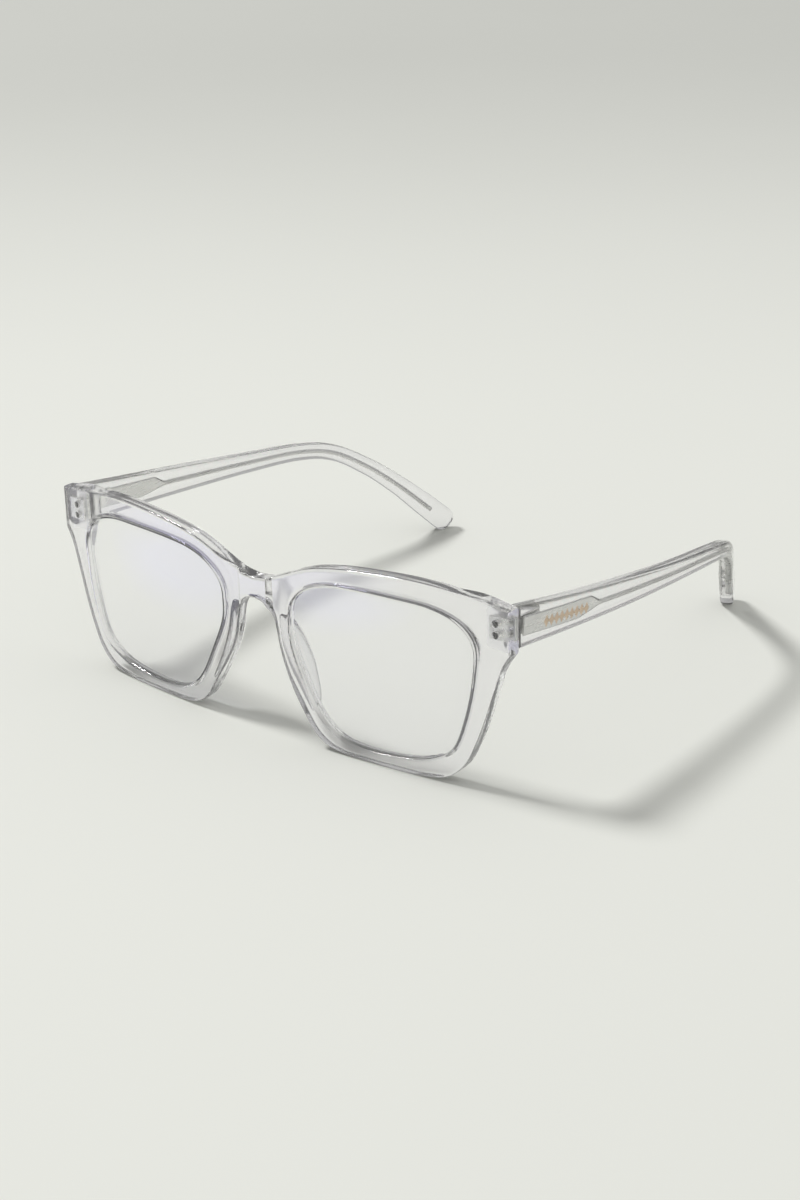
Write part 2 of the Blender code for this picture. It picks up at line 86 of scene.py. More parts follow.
# ---------------------------------------------------------------- finer detail than the CAD's
WELD_TOLERANCE, CUT_TOLERANCE = 0.002, 0.0001
LEAST_FLAT = 0.01               # left between two rounded corners
OUTLINE_STEPS = 8
EDGE = 0.8                      # radius that the front's edges are polished to
EDGE_STEPS = 5
ACROSS_CUTS = ((7.2, 0.8, 10), (16.0, 1.6, 26), (57.0, 0.8, 18))
UP_CUTS = (28.0, 0.9, 20)       # first, spacing and count of the cuts that let the front bend
BRIDGE_FACET, BRIDGE_VALLEY, BRIDGE_FADE = 4.2, 5.6, 13.5
BRIDGE_DIP = 0.95               # the rims sink this much beside the flat of the bridge
BLOCK_REAR = 10.87              # rear flat of an end piece, a hair ahead of the CAD's
BLOCK_FROM, BLOCK_FULL = 56.5, 65.0             # the end piece thickens between these widths
BLOCK_LOW, BLOCK_HIGH = 29.5, 36.5              # and between these heights
PEG_HOLE_CORNERS = 24
PEG_HOLE_RINGS = ((0.0, 0.3), (0.04, 0.6), (0.12, 0.85), (0.25, 1.0), (4.0, 1.0))
GROOVE = ((-1.25, -0.7), (0.0, 0.85), (1.25, -0.7))     # depth, growth from the opening
LENS_RIM = ((-0.9, -0.35), (0.0, 0.5), (0.9, -0.35))
LENS_RINGS = 16
LENS_CENTRE = 0.4               # size of the innermost ring, as a share of the others' spacing
LENS_BULGE = 1.6
LENS_MARGIN = 1.0               # the bulge comes to nothing this far outside the opening
PAD_STATIONS = (                # height, inner and outer edge, reach back, shift sideways
    (31.5, 7.2, 8.7, 0.15, 0.1), (30.6, 6.4, 9.6, 0.9, 0.3), (27.6, 6.5, 10.4, 2.3, 1.1),
    (24.0, 7.1, 11.1, 3.4, 1.6), (20.0, 8.7, 12.3, 4.0, 1.6), (16.0, 10.7, 13.7, 3.8, 1.2),
    (12.0, 13.0, 15.3, 2.8, 0.9), (9.2, 14.8, 16.6, 1.2, 0.4), (8.3, 15.4, 16.4, 0.2, 0.1))
PAD_GAP = 0.03
PAD_STEPS, PAD_RING = 4, 28
PAD_FULLNESS = 0.8              # below 1 makes the pad's section squarer than a half ellipse
FACE_ROUND = 0.2                # radius round the temple's face that closes on the end piece
FACE_STEPS = 4
TEMPLE_STEPS, TEMPLE_CORNER_STEPS = 10, 6
TIP_ROUND = 3.1                 # length over which the tip rounds off
TIP_STEPS, TIP_SWEEP = 12, 12.5                 # rings round the tip, and how many would close it
TIP_END_WIDTH, TIP_END_HEIGHT = 0.4, 0.2        # share of the section left where it closes
WIRE_STEPS, WIRE_CORNER_STEPS = 28, 4
DRAWN_TOP, DRAWN_BOTTOM = (38.0, 41.4), (33.4, 41.4)    # where the plate narrows to the wire,
DRAWN_SIDES = (37.0, 43.0)                              # above, below and at both sides
FOIL_COUNT, FOIL_START, FOIL_SPACING = 17, 21.2, 0.94
FOIL_DROP = 0.3                 # the row lies this much below the middle of the plate
FOIL_SHAPES = ((0.92, 1.5, 4), (0.3, 0.3, 10))  # half length and height, corners: lozenge, dot
FOIL_LAYERS = ((-0.05, 1.0), (0.03, 1.0), (0.06, 0.8))  # lift off the plate, size
SHARP_DEGREES, NORMAL_WEIGHT = 32, 60
HINGE_PARTS = ("hinge_front_leaf", "hinge_temple_leaf", "hinge_screw")
HINGE_BEVEL, HINGE_BEVEL_STEPS, HINGE_SHARP_DEGREES = 0.00008, 2, 40    # the bevel in metres


# ---------------------------------------------------------------- curves
def catmull_rom(before, start, end, after, t):
    """The point a share t of the way from start to end, on the curve through all four."""
    linear = (end - before) * t
    square = (2 * before - 5 * start + 4 * end - after) * t ** 2
    cube = (3 * start - before - 3 * end + after) * t ** 3
    return start + 0.5 * (linear + square + cube)


def smooth_path(points, steps):
    """An open curve through the points."""
    points = [Vector(point) for point in points]
    first, last = 2 * points[0] - points[1], 2 * points[-1] - points[-2]
    chain = [first, *points, last]
    path = []
    for four in zip(chain, chain[1:], chain[2:], chain[3:]):
        path.extend(catmull_rom(*four, step / steps) for step in range(steps))
    return path + [points[-1]]


def smooth_loop(points, steps):
    """A closed curve through the points."""
    points = [Vector(point) for point in points]
    count = len(points)
    loop = []
    for index in range(count):
        four = [points[(index + offset) % count] for offset in (-1, 0, 1, 2)]
        loop.extend(catmull_rom(*four, step / steps) for step in range(steps))
    return loop


def offset_loop(loop, distance):
    """The loop moved outwards, or inwards where the distance is negative."""
    middle = sum(loop, Vector((0.0, 0.0))) / len(loop)
    moved = []
    for index, point in enumerate(loop):
        along = loop[(index + 1) % len(loop)] - loop[index - 1]
        normal = Vector((along.y, -along.x)).normalized()
        if normal.dot(point - middle) < 0:
            normal.negate()
        moved.append(point + normal * distance)
    return moved


def front_loop():
    """The outline of the whole front."""
    half = smooth_path(OUTLINE_TOP, OUTLINE_STEPS) + smooth_path(OUTLINE_SIDE, OUTLINE_STEPS)
    mirrored = [Vector((-point.x, point.y)) for point in reversed(half[1:-1])]
    return half + mirrored


def opening_loop(sign):
    loop = smooth_loop(OPENING, OUTLINE_STEPS)
    return [Vector((sign * point.x, point.y)) for point in loop]


def share_between(value, start, end):
    """How far a value is on the way from start to end, held to 0 and 1."""
    return min(max((value - start) / (end - start), 0.0), 1.0)


def smooth_share(value, start, end):
    """The same, leaving start and reaching end gently."""
    share = share_between(value, start, end)
    return share * share * (3 - 2 * share)


# ---------------------------------------------------------------- solids
def evaluated_mesh(thing):
    """What a curve, or an object with its modifiers, comes to as a mesh."""
    graph = bpy.context.evaluated_depsgraph_get()
    return bpy.data.meshes.new_from_object(thing.evaluated_get(graph))


def add_object(name, data):
    thing = bpy.data.objects.new(name, data)
    bpy.context.scene.collection.objects.link(thing)
    return thing


def rounded_sheet(loops, thickness, edge, steps):
    """A filled outline with polished edges, stood up in the XZ plane from Y = 0 backwards."""
    curve = bpy.data.curves.new("outline", "CURVE")
    curve.dimensions = "2D"
    curve.fill_mode = "BOTH"
    curve.extrude = thickness / 2 - edge
    curve.bevel_depth = edge
    curve.bevel_resolution = steps
    curve.offset = -edge
    for loop in loops:
        spline = curve.splines.new("POLY")
        spline.points.add(len(loop) - 1)
        for point, place in zip(spline.points, loop):
            point.co = (place.x, place.y, 0.0, 1.0)
        spline.use_cyclic_u = True
    holder = add_object("outline", curve)
    mesh = evaluated_mesh(holder)
    bpy.data.objects.remove(holder, do_unlink=True)
    bpy.data.curves.remove(curve)
    solid = bmesh.new()
    solid.from_mesh(mesh)
    bpy.data.meshes.remove(mesh)
    bmesh.ops.remove_doubles(solid, verts=solid.verts, dist=WELD_TOLERANCE)
    turn = Matrix.Rotation(math.radians(90), 4, "X")
    stand_up = Matrix.Translation((0, thickness / 2, 0)) @ turn
    bmesh.ops.transform(solid, matrix=stand_up, verts=solid.verts)
    bmesh.ops.recalc_face_normals(solid, faces=solid.faces)
    return solid


def bridge_dip(x):
    """How far the front surface sinks beside the flat of the bridge."""
    x = abs(x)
    if x <= BRIDGE_FACET or x >= BRIDGE_FADE:
        return 0.0
    if x < BRIDGE_VALLEY:
        return BRIDGE_DIP * (x - BRIDGE_FACET) / (BRIDGE_VALLEY - BRIDGE_FACET)
    fade = (x - BRIDGE_VALLEY) / (BRIDGE_FADE - BRIDGE_VALLEY)
    return BRIDGE_DIP * 0.5 * (1 + math.cos(math.pi * fade))


def block_depth(x, z):
    """How much thicker the front is at an end piece, whose rear is a flat for the temple."""
    share = smooth_share(abs(x), BLOCK_FROM, BLOCK_FULL) * smooth_share(z, BLOCK_LOW, BLOCK_HIGH)
    return share * (BLOCK_REAR - FRONT_THICKNESS - FACE_WRAP * x ** 2)


def cut_plane(solid, place, normal, clear_outer=False):
    everything = [*solid.verts, *solid.edges, *solid.faces]
    bmesh.ops.bisect_plane(solid, geom=everything, dist=CUT_TOLERANCE, plane_co=place,
                           plane_no=normal, clear_outer=clear_outer)


def triangulate_large(solid):
    """Splits the faces of more than four corners, which are the ends of lofts and cuts."""
    bmesh.ops.triangulate(solid, faces=[face for face in solid.faces if len(face.verts) > 4])


def bend_round_face(solid):
    """Curves the flat sheet round the face, with the bridge's facets and the end pieces."""
    cuts = [BRIDGE_FACET, BRIDGE_VALLEY]
    for first, spacing, count in ACROSS_CUTS:
        cuts.extend(first + spacing * step for step in range(count))
    for place in [0.0, *cuts, *(-cut for cut in cuts)]:
        cut_plane(solid, (place, 0, 0), (1, 0, 0))
    first, spacing, count = UP_CUTS
    for step in range(count):
        cut_plane(solid, (0, 0, first + spacing * step), (0, 0, 1))
    bmesh.ops.triangulate(solid, faces=solid.faces)
    for vert in solid.verts:
        x, y, z = vert.co
        share = y / FRONT_THICKNESS
        vert.co.y += (FACE_WRAP * x ** 2 + bridge_dip(x) * (1 - share)
                      + block_depth(x, z) * share)


def trim_at_ground(solid):
    """Takes off what reaches below Z = 0 and leaves a flat to rest on."""
    cut_plane(solid, (0, 0, 0), (0, 0, -1), clear_outer=True)
    bmesh.ops.holes_fill(solid, edges=[edge for edge in solid.edges if edge.is_boundary])
    triangulate_large(solid)


def loft(*runs):
    """A closed solid through each run of rings."""
    solid = bmesh.new()
    for rings in runs:
        rows = [[solid.verts.new(point) for point in ring] for ring in rings]
        count = len(rings[0])
        for row, following in zip(rows, rows[1:]):
            for index in range(count):
                nearby = (index + 1) % count
                solid.faces.new((row[index], row[nearby], following[nearby], following[index]))
        solid.faces.new(list(reversed(rows[0])))
        solid.faces.new(rows[-1])
    bmesh.ops.recalc_face_normals(solid, faces=solid.faces)
    return solid


def peg_hole(height):
    """The hole that an anchoring peg of the hinge sits in, with its domed end."""
    rings = []
    for back, share in PEG_HOLE_RINGS:
        ring = []
        for index in range(PEG_HOLE_CORNERS):
            angle = 2 * math.pi * (index + 0.5) / PEG_HOLE_CORNERS
            across = PEG_HOLE_RADIUS * share * math.cos(angle)
            up = PEG_HOLE_RADIUS * share * math.sin(angle)
            ring.append(Vector((PEG_X + across, PEG_HOLE_TIP + back, height + up)))
        rings.append(ring)
    return loft(rings)


def rounded_ring(centre, side, up, width, height, edge, steps):
    """A rectangle with rounded corners, as a ring of points."""
    ring = []
    edge = min(edge, width / 2 - LEAST_FLAT, height / 2 - LEAST_FLAT)
    for quarter in range(4):
        for step in range(steps + 1):
            angle = math.pi / 2 * (quarter + step / steps)
            corner_x = (width / 2 - edge) * (1 if quarter in (0, 3) else -1)
            corner_y = (height / 2 - edge) * (1 if quarter in (0, 1) else -1)
            ring.append(centre + side * (corner_x + edge * math.cos(angle))
                        + up * (corner_y + edge * math.sin(angle)))
    return ring


# ---------------------------------------------------------------- pieces
def make_piece(name, solid, sign=1.0):
    """A piece in the row frame, from a solid drawn in millimetres for the wearer's left side."""
    if sign < 0:
        bmesh.ops.transform(solid, matrix=Matrix.Diagonal((-1, 1, 1, 1)), verts=solid.verts)
        bmesh.ops.reverse_faces(solid, faces=solid.faces)
    to_row = Matrix.Translation((0, FRONT_Y * MM, 0)) @ Matrix.Scale(MM, 4)
    bmesh.ops.transform(solid, matrix=to_row, verts=solid.verts)
    mesh = bpy.data.meshes.new(name)
    solid.to_mesh(mesh)
    solid.free()
    mesh.shade_smooth()
    return add_object(name, mesh)


def cut_out(target, tool):
    """Takes the tool's shape out of the target, and removes the tool."""
    modifier = target.modifiers.new("cut", "BOOLEAN")
    modifier.operation = "DIFFERENCE"
    modifier.solver = "EXACT"
    modifier.object = tool
    mesh = evaluated_mesh(target)
    target.modifiers.clear()
    old = target.data
    target.data = mesh
    bpy.data.meshes.remove(old)
    bpy.data.objects.remove(tool, do_unlink=True)


def finish_piece(thing, material, body, slot, *replaced):
    """Shading and material; the piece goes under its body's empty, and the CAD parts it replaces
    are hidden.
    """
    thing.data.shade_smooth()
    thing.data.set_sharp_from_angle(angle=math.radians(SHARP_DEGREES))
    weighted = thing.modifiers.new("normals", "WEIGHTED_NORMAL")
    weighted.keep_sharp = True
    weighted.weight = NORMAL_WEIGHT
    thing.data.materials.clear()
    thing.data.materials.append(material)
    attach(thing, body)
    if replaced:
        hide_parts(*replaced)


def groove_cutter():
    """A disc that fills an opening, with a rim as deep as the groove."""
    loop = opening_loop(1.0)
    rings = []
    for depth, grow in GROOVE:
        middle = FRONT_THICKNESS / 2 + depth
        rings.append([Vector((point.x, middle + FACE_WRAP * point.x ** 2, point.y))
                      for point in offset_loop(loop, grow)])
    solid = loft(rings)
    bmesh.ops.triangulate(solid, faces=solid.faces)
    return solid


def build_front(material):
    loops = [front_loop(), opening_loop(1.0), opening_loop(-1.0)]
    sheet = rounded_sheet(loops, FRONT_THICKNESS, EDGE, EDGE_STEPS)
    bend_round_face(sheet)
    trim_at_ground(sheet)
    front = make_piece("front_acetate", sheet)
    for _, sign in SIDES:
        cut_out(front, make_piece("groove", groove_cutter(), sign))
        for spread in (PEG_SPREAD, -PEG_SPREAD):
            cut_out(front, make_piece("peg_hole", peg_hole(AXIS_Z + spread), sign))
    finish_piece(front, material, "front", "clear_acetate", "front_frame")


def nose_pad():
    """A pad lofted down the inner edge of the rim, each section a full half ellipse."""
    rings = []
    base = FRONT_THICKNESS + PAD_GAP
    for height, inner, outer, reach, shift in smooth_path(PAD_STATIONS, PAD_STEPS):
        ring = []
        middle, half = (inner + outer) / 2, (outer - inner) / 2
        for index in range(PAD_RING):
            angle = math.pi * index / (PAD_RING - 1)
            rise = max(math.sin(angle), 0.0) ** PAD_FULLNESS
            across = middle - half * math.cos(angle) + shift * rise
            ring.append((across, base + reach * rise + FACE_WRAP * across ** 2, height))
        rings.append(ring)
    solid = loft(rings)
    triangulate_large(solid)
    return solid


def lens():
    """A lens with a bevelled rim in the groove and a crowned face on both sides."""
    loop = opening_loop(1.0)
    middle = sum(loop, Vector((0.0, 0.0))) / len(loop)
    half_x = max(abs(point.x - middle.x) for point in loop) + LENS_MARGIN
    half_z = max(abs(point.y - middle.y) for point in loop) + LENS_MARGIN

    def place(point, depth):
        across, height = (point.x - middle.x) / half_x, (point.y - middle.y) / half_z
        crown = LENS_BULGE * max(1 - across ** 2, 0.0) * max(1 - height ** 2, 0.0)
        back = FRONT_THICKNESS / 2 + depth + FACE_WRAP * point.x ** 2 - crown
        return Vector((point.x, back, point.y))

    def face(depth, grow):
        edge = offset_loop(loop, grow)
        shares = [(ring + LENS_CENTRE) / LENS_RINGS for ring in range(LENS_RINGS)] + [1.0]
        return [[place(middle + (point - middle) * share, depth) for point in edge]
                for share in shares]

    front, (rim, rim_grow), rear = LENS_RIM
    edge = [place(point, rim) for point in offset_loop(loop, rim_grow)]
    return loft([*face(*front), edge, *reversed(face(*rear))])


def temple_stations(steps):
    """Middle, height, direction, outward side and upward side of the temple's sections."""
    line = smooth_path(TEMPLE_PATH, steps)
    stations = []
    for index, point in enumerate(line):
        before, after = line[max(index - 1, 0)], line[min(index + 1, len(line) - 1)]
        tangent = (after - before).to_3d().normalized() if index else Vector((0, 1, 0))
        side = tangent.cross(Vector((0, 0, 1))).normalized()
        stations.append((point.to_3d(), point.w, tangent, side, side.cross(tangent)))
    return stations


def temple_body():
    """A rounded face at the hinge, then the temple's sections, then a tip that rounds off."""
    stations = temple_stations(TEMPLE_STEPS)
    rings = []

    def add_ring(centre, side, up, width, height):
        rings.append(rounded_ring(centre, side, up, width, height, TEMPLE_EDGE,
                                  TEMPLE_CORNER_STEPS))

    centre, height, _, side, up = stations[0]
    for step in range(FACE_STEPS + 1):
        angle = math.pi / 2 * step / FACE_STEPS
        ahead = centre + Vector((0, FACE_ROUND * (1 - math.cos(angle)), 0))
        pull = 2 * FACE_ROUND * (1 - math.sin(angle))
        add_ring(ahead, side, up, TEMPLE_THICKNESS - pull, height - pull)
    for centre, height, _, side, up in stations[1:]:
        add_ring(centre, side, up, TEMPLE_THICKNESS, height)
    centre, height, tangent, side, up = stations[-1]
    for step in range(1, TIP_STEPS + 1):
        angle = math.pi / 2 * step / TIP_SWEEP
        shrink = math.cos(angle)
        width = TEMPLE_THICKNESS * (TIP_END_WIDTH + (1 - TIP_END_WIDTH) * shrink)
        tall = height * (TIP_END_HEIGHT + (1 - TIP_END_HEIGHT) * shrink)
        add_ring(centre + tangent * TIP_ROUND * math.sin(angle), side, up, width, tall)
    solid = loft(rings)
    triangulate_large(solid)
    trim_at_ground(solid)
    return solid


def core_wire():
    """A flat plate behind the hinge that narrows to a round wire."""
    plate_half, narrowing = PLATE_HEIGHT / 2, (WIRE_DIAMETER - PLATE_HEIGHT) / 2
    widening = WIRE_DIAMETER - PLATE_THICKNESS
    rings = []
    for centre, _, _, side, up in temple_stations(WIRE_STEPS):
        if WIRE_FRONT < centre.y < WIRE_REAR:
            top = plate_half + narrowing * share_between(centre.y, *DRAWN_TOP)
            bottom = plate_half + narrowing * share_between(centre.y, *DRAWN_BOTTOM)
            width = PLATE_THICKNESS + widening * share_between(centre.y, *DRAWN_SIDES)
            middle = centre + side * WIRE_OFFSET + up * (top - bottom) / 2
            rings.append(rounded_ring(middle, side, up, width, top + bottom, WIRE_DIAMETER / 2,
                                      WIRE_CORNER_STEPS))
    return loft(rings)


def foil_ornament():
    """A row of small lozenges and dots in gold foil on the outer face of the core plate."""
    stations = temple_stations(WIRE_STEPS)
    runs = []
    for index in range(FOIL_COUNT):
        depth = FOIL_START + index * FOIL_SPACING
        nearest = min(stations, key=lambda station: abs(station[0].y - depth))
        centre, _, tangent, side, up = nearest
        centre = centre + tangent * (depth - centre.y)
        face = centre + side * (WIRE_OFFSET + PLATE_THICKNESS / 2) - up * FOIL_DROP
        long, tall, count = FOIL_SHAPES[index % 2]
        rings = []
        for lift, scale in FOIL_LAYERS:
            ring = []
            for corner in range(count):
                angle = 2 * math.pi * corner / count
                across = tangent * math.cos(angle) * long + up * math.sin(angle) * tall
                ring.append(face + side * lift + across * scale)
            rings.append(ring)
        runs.append(rings)
    return loft(*runs)


def soften_hinge_part(node, material):
    """A finish and fine edges for a CAD piece that stays as it is."""
    node.data.materials.clear()
    node.data.materials.append(material)
    bevel = node.modifiers.new("soft_edges", "BEVEL")
    bevel.width, bevel.segments, bevel.limit_method = HINGE_BEVEL, HINGE_BEVEL_STEPS, "ANGLE"
    bevel.angle_limit, bevel.harden_normals = math.radians(HINGE_SHARP_DEGREES), True


# ---------------------------------------------------------------- materials
ACETATE_TINT = ((0.980, 0.974, 1.0), (0.992, 0.987, 1.0))
ACETATE_SHADES = ((0.62, 0.62, 0.61), (0.22, 0.22, 0.22))       # of its shadow: facing, grazing
ACETATE_IOR = 1.49
ACETATE_POLISH, PAD_POLISH = (0.01, 0.035), (0.06, 0.12)
LENS_TINT = ((0.985, 0.985, 0.995), (0.99, 0.99, 1.0))
LENS_SHADES = ((0.97, 0.97, 0.98), (0.80, 0.80, 0.82))
LENS_IOR, LENS_POLISH = 1.5, (0.0, 0.01)
COATING_LEVEL, COATING_TINT = 0.3, (0.75, 0.72, 1.0)
CLARITY = 0.95                  # the rest is scattered by faint haze in the plastic
SAWN = (10.78, 11.3)            # depths of the mitre faces, which are sawn and not polished
SAWN_ROUGHNESS = 0.4
NOISE_LOW, NOISE_HIGH = 0.3, 0.7                # most of a noise texture lies between these
TINT_SCALE, POLISH_SCALE = 60.0, 240.0
FACING_BLEND, SHADE_FULL = 0.5, 0.9
STEEL_TONES, STEEL_POLISH = ((0.78, 0.78, 0.76), (0.86, 0.86, 0.84)), (0.24, 0.36)
GOLD_TONES, GOLD_POLISH = ((0.78, 0.60, 0.42), (0.88, 0.70, 0.52)), (0.30, 0.45)
STEEL_SCALE, GOLD_SCALE = 900.0, 700.0
STREAK_DETAIL, STREAK_STRETCH = 5.0, (1.0, 0.08, 1.0)
STREAK_HEIGHT, STREAK_STRENGTH = 0.00002, 0.15
PEG_SHADE_DEPTHS, PEG_SHADE_BLACK = (0.0, 9.87), (0.03, 0.03, 0.03)      # depths at which the metal is painted near black: painted shade for the dark spots where the pegs sit in the front


class Nodes:
    """A small helper that adds and joins shader nodes."""

    def __init__(self, name):
        self.material = bpy.data.materials.new(name)
        self.material.use_nodes = True
        self.tree = self.material.node_tree
        self.tree.nodes.clear()
        self.out = self.add("ShaderNodeOutputMaterial")

    def add(self, kind, **settings):
        node = self.tree.nodes.new(kind)
        for key, value in settings.items():
            setattr(node, key, value)
        return node

    def join(self, source, target):
        self.tree.links.new(source, target)

    def place(self):
        return self.add("ShaderNodeTexCoord").outputs["Object"]

    def noise(self, scale, detail=3.0, stretch=(1.0, 1.0, 1.0)):
        mapping = self.add("ShaderNodeMapping")
        mapping.inputs["Scale"].default_value = stretch
        noise = self.add("ShaderNodeTexNoise")
        noise.inputs["Scale"].default_value = scale
        noise.inputs["Detail"].default_value = detail
        self.join(self.place(), mapping.inputs["Vector"])
        self.join(mapping.outputs["Vector"], noise.inputs["Vector"])
        return noise.outputs["Fac"]

    def band(self, start, end):
        """1 where the row frame's y lies between two depths of the plan, else 0."""
        split = self.add("ShaderNodeSeparateXYZ")
        self.join(self.place(), split.inputs["Vector"])
        inside = self.add("ShaderNodeMath", operation="COMPARE")
        inside.inputs[1].default_value = ((start + end) / 2 + FRONT_Y) * MM
        inside.inputs[2].default_value = (end - start) / 2 * MM
        self.join(split.outputs["Y"], inside.inputs[0])
        return inside.outputs["Value"]

    def blend(self, share, source, colour):
        """The source, giving way to a colour as the share goes from 0 to 1."""
        mix = self.add("ShaderNodeMix", data_type="RGBA")
        self.join(share, mix.inputs["Factor"])
        self.join(source, mix.inputs["A"])
        mix.inputs["B"].default_value = (*colour, 1.0)
        return mix.outputs["Result"]

    def mix_shader(self, share, first, second):
        mix = self.add("ShaderNodeMixShader")
        for socket, source in enumerate((share, first, second)):
            self.join(source, mix.inputs[socket])
        return mix.outputs["Shader"]

    def spread(self, source, low, high, start=NOISE_LOW, end=NOISE_HIGH, **settings):
        """Maps start..end onto the numbers low..high."""
        spread = self.add("ShaderNodeMapRange", **settings)
        for key, value in (("From Min", start), ("From Max", end),
                           ("To Min", low), ("To Max", high)):
            spread.inputs[key].default_value = value
        self.join(source, spread.inputs["Value"])
        return spread.outputs["Result"]

    def ramp(self, source, low, high, start=NOISE_LOW, end=NOISE_HIGH):
        """Maps start..end, in a value from 0 to 1, onto the colours low..high."""
        ramp = self.add("ShaderNodeValToRGB")
        first, last = ramp.color_ramp.elements
        first.position, last.position = start, end
        first.color, last.color = (*low, 1.0), (*high, 1.0)
        self.join(source, ramp.inputs["Fac"])
        return ramp.outputs["Color"]


def clear_material(name, tint, polish, ior, shades, level=0.5, specular=(1, 1, 1)):
    """Clear plastic, whose shadow is a soft grey that deepens towards grazing faces."""
    nodes = Nodes(name)
    shader = nodes.add("ShaderNodeBsdfPrincipled")
    shader.inputs["Transmission Weight"].default_value = CLARITY
    shader.inputs["IOR"].default_value = ior
    shader.inputs["Specular IOR Level"].default_value = level
    shader.inputs["Specular Tint"].default_value = (*specular, 1.0)
    nodes.join(nodes.ramp(nodes.noise(TINT_SCALE), *tint), shader.inputs["Base Color"])
    rough = nodes.add("ShaderNodeMath", operation="MULTIPLY_ADD")
    nodes.join(nodes.band(*SAWN), rough.inputs[0])
    rough.inputs[1].default_value = SAWN_ROUGHNESS
    nodes.join(nodes.spread(nodes.noise(POLISH_SCALE), *polish), rough.inputs[2])
    nodes.join(rough.outputs["Value"], shader.inputs["Roughness"])
    facing = nodes.add("ShaderNodeLayerWeight")
    facing.inputs["Blend"].default_value = FACING_BLEND
    shade = nodes.add("ShaderNodeBsdfTransparent")
    nodes.join(nodes.ramp(facing.outputs["Facing"], *shades, 0.0, SHADE_FULL),
               shade.inputs["Color"])
    path = nodes.add("ShaderNodeLightPath")
    seen = shader.outputs["BSDF"]
    for ray in ("Is Diffuse Ray", "Is Shadow Ray"):
        seen = nodes.mix_shader(path.outputs[ray], seen, shade.outputs["BSDF"])
    nodes.join(seen, nodes.out.inputs["Surface"])
    return nodes.material


def metal_material(name, tones, polish, scale):
    """Metal with a fine grain. Where it is let into the front, its pegs are painted near black:
    painted shade for the dark spots where they sit.
    """
    nodes = Nodes(name)
    shader = nodes.add("ShaderNodeBsdfPrincipled")
    shader.inputs["Metallic"].default_value = 1.0
    streaks = nodes.noise(scale, STREAK_DETAIL, STREAK_STRETCH)
    # painted shade: near black on the pegs where they sit in the front
    tone = nodes.blend(nodes.band(*PEG_SHADE_DEPTHS), nodes.ramp(streaks, *tones), PEG_SHADE_BLACK)
    nodes.join(tone, shader.inputs["Base Color"])
    nodes.join(nodes.spread(streaks, *polish), shader.inputs["Roughness"])
    bump = nodes.add("ShaderNodeBump")
    bump.inputs["Strength"].default_value = STREAK_STRENGTH
    bump.inputs["Distance"].default_value = STREAK_HEIGHT
    nodes.join(streaks, bump.inputs["Height"])
    nodes.join(bump.outputs["Normal"], shader.inputs["Normal"])
    nodes.join(shader.outputs["BSDF"], nodes.out.inputs["Surface"])
    return nodes.material


# ---------------------------------------------------------------- studio
AZIMUTH, ELEVATION, ROLL = math.radians(39.77), math.radians(22.38), math.radians(-1.454)
CAMERA_PLACE = (368.55, -387.44, 252.92)        # in the plan's millimetres
LENS_MM, SENSOR_MM = 71.85, 36.0
CLIP_START, CLIP_END = 0.01, 50.0
KEY_DIRECTION = Vector((-34.0, -6.0, 46.0)).normalized()
KEY_DISTANCE, KEY_SIZE, KEY_POWER = 6.0, 1.35, 250.0
KEY_COLOUR = (1.0, 0.995, 0.98)
WORLD_LOW, WORLD_HIGH = 0.36, 0.51
WORLD_BLUE = 0.985              # blue as a share of red and green
BOUNCES = 32                    # clear plastic turns black where light paths are cut short
CARD_PLACE, CARD_SIZE, CARD_CELLS = (-0.100, -0.185, 0.0008), (0.100, 0.090, 1.0), 4
CARD_COLOUR, CARD_STRENGTH = (0.46, 0.43, 1.0), 1.8
CARD_REACH = 1.0                # before CARD_SIZE scales it; the gradient of the glow ends here
CARD_FADE = 0.4                 # the share of the way in at which the glow is at full strength
FLOOR_REACH, FLOOR_CELLS, FLOOR_DROP = 12.0, 24, 0.00002        # in metres
FLOOR_ROUGHNESS, FLOOR_LEVEL, FLOOR_SCALE = 0.9, 0.2, 3.0
FLOOR_TONES = ((0.775, 0.785, 0.745), (0.79, 0.80, 0.76))
FLOOR_PAINTED_FALLOFF = (1.0, 0.70, 0.05, 0.95)            # painted shade: the paper's brightness from and to, over these distances


def floor_material():
    """Pale paper whose colour is darkened towards the back of the scene, wherever it is seen
    from: painted shade for the light falling off there.
    """
    nodes = Nodes("paper_floor")
    shader = nodes.add("ShaderNodeBsdfPrincipled")
    shader.inputs["Roughness"].default_value = FLOOR_ROUGHNESS
    shader.inputs["Specular IOR Level"].default_value = FLOOR_LEVEL
    tone = nodes.ramp(nodes.noise(FLOOR_SCALE), *FLOOR_TONES)
    along = nodes.add("ShaderNodeVectorMath", operation="DOT_PRODUCT")
    along.inputs[1].default_value = (-math.sin(AZIMUTH), math.cos(AZIMUTH), 0.0)
    nodes.join(nodes.place(), along.inputs[0])
    # painted shade: the paper's colour is scaled down towards the back
    fall = nodes.spread(along.outputs["Value"], *FLOOR_PAINTED_FALLOFF, interpolation_type="SMOOTHSTEP")
    scale = nodes.add("ShaderNodeVectorMath", operation="SCALE")
    nodes.join(tone, scale.inputs[0])
    nodes.join(fall, scale.inputs["Scale"])
    nodes.join(scale.outputs["Vector"], shader.inputs["Base Color"])
    nodes.join(shader.outputs["BSDF"], nodes.out.inputs["Surface"])
    return nodes.material


def grid_object(name, cells, reach, material):
    grid = bmesh.new()
    bmesh.ops.create_grid(grid, x_segments=cells, y_segments=cells, size=reach)
    mesh = bpy.data.meshes.new(name)
    grid.to_mesh(mesh)
    grid.free()
    mesh.materials.append(material)
    return add_object(name, mesh)


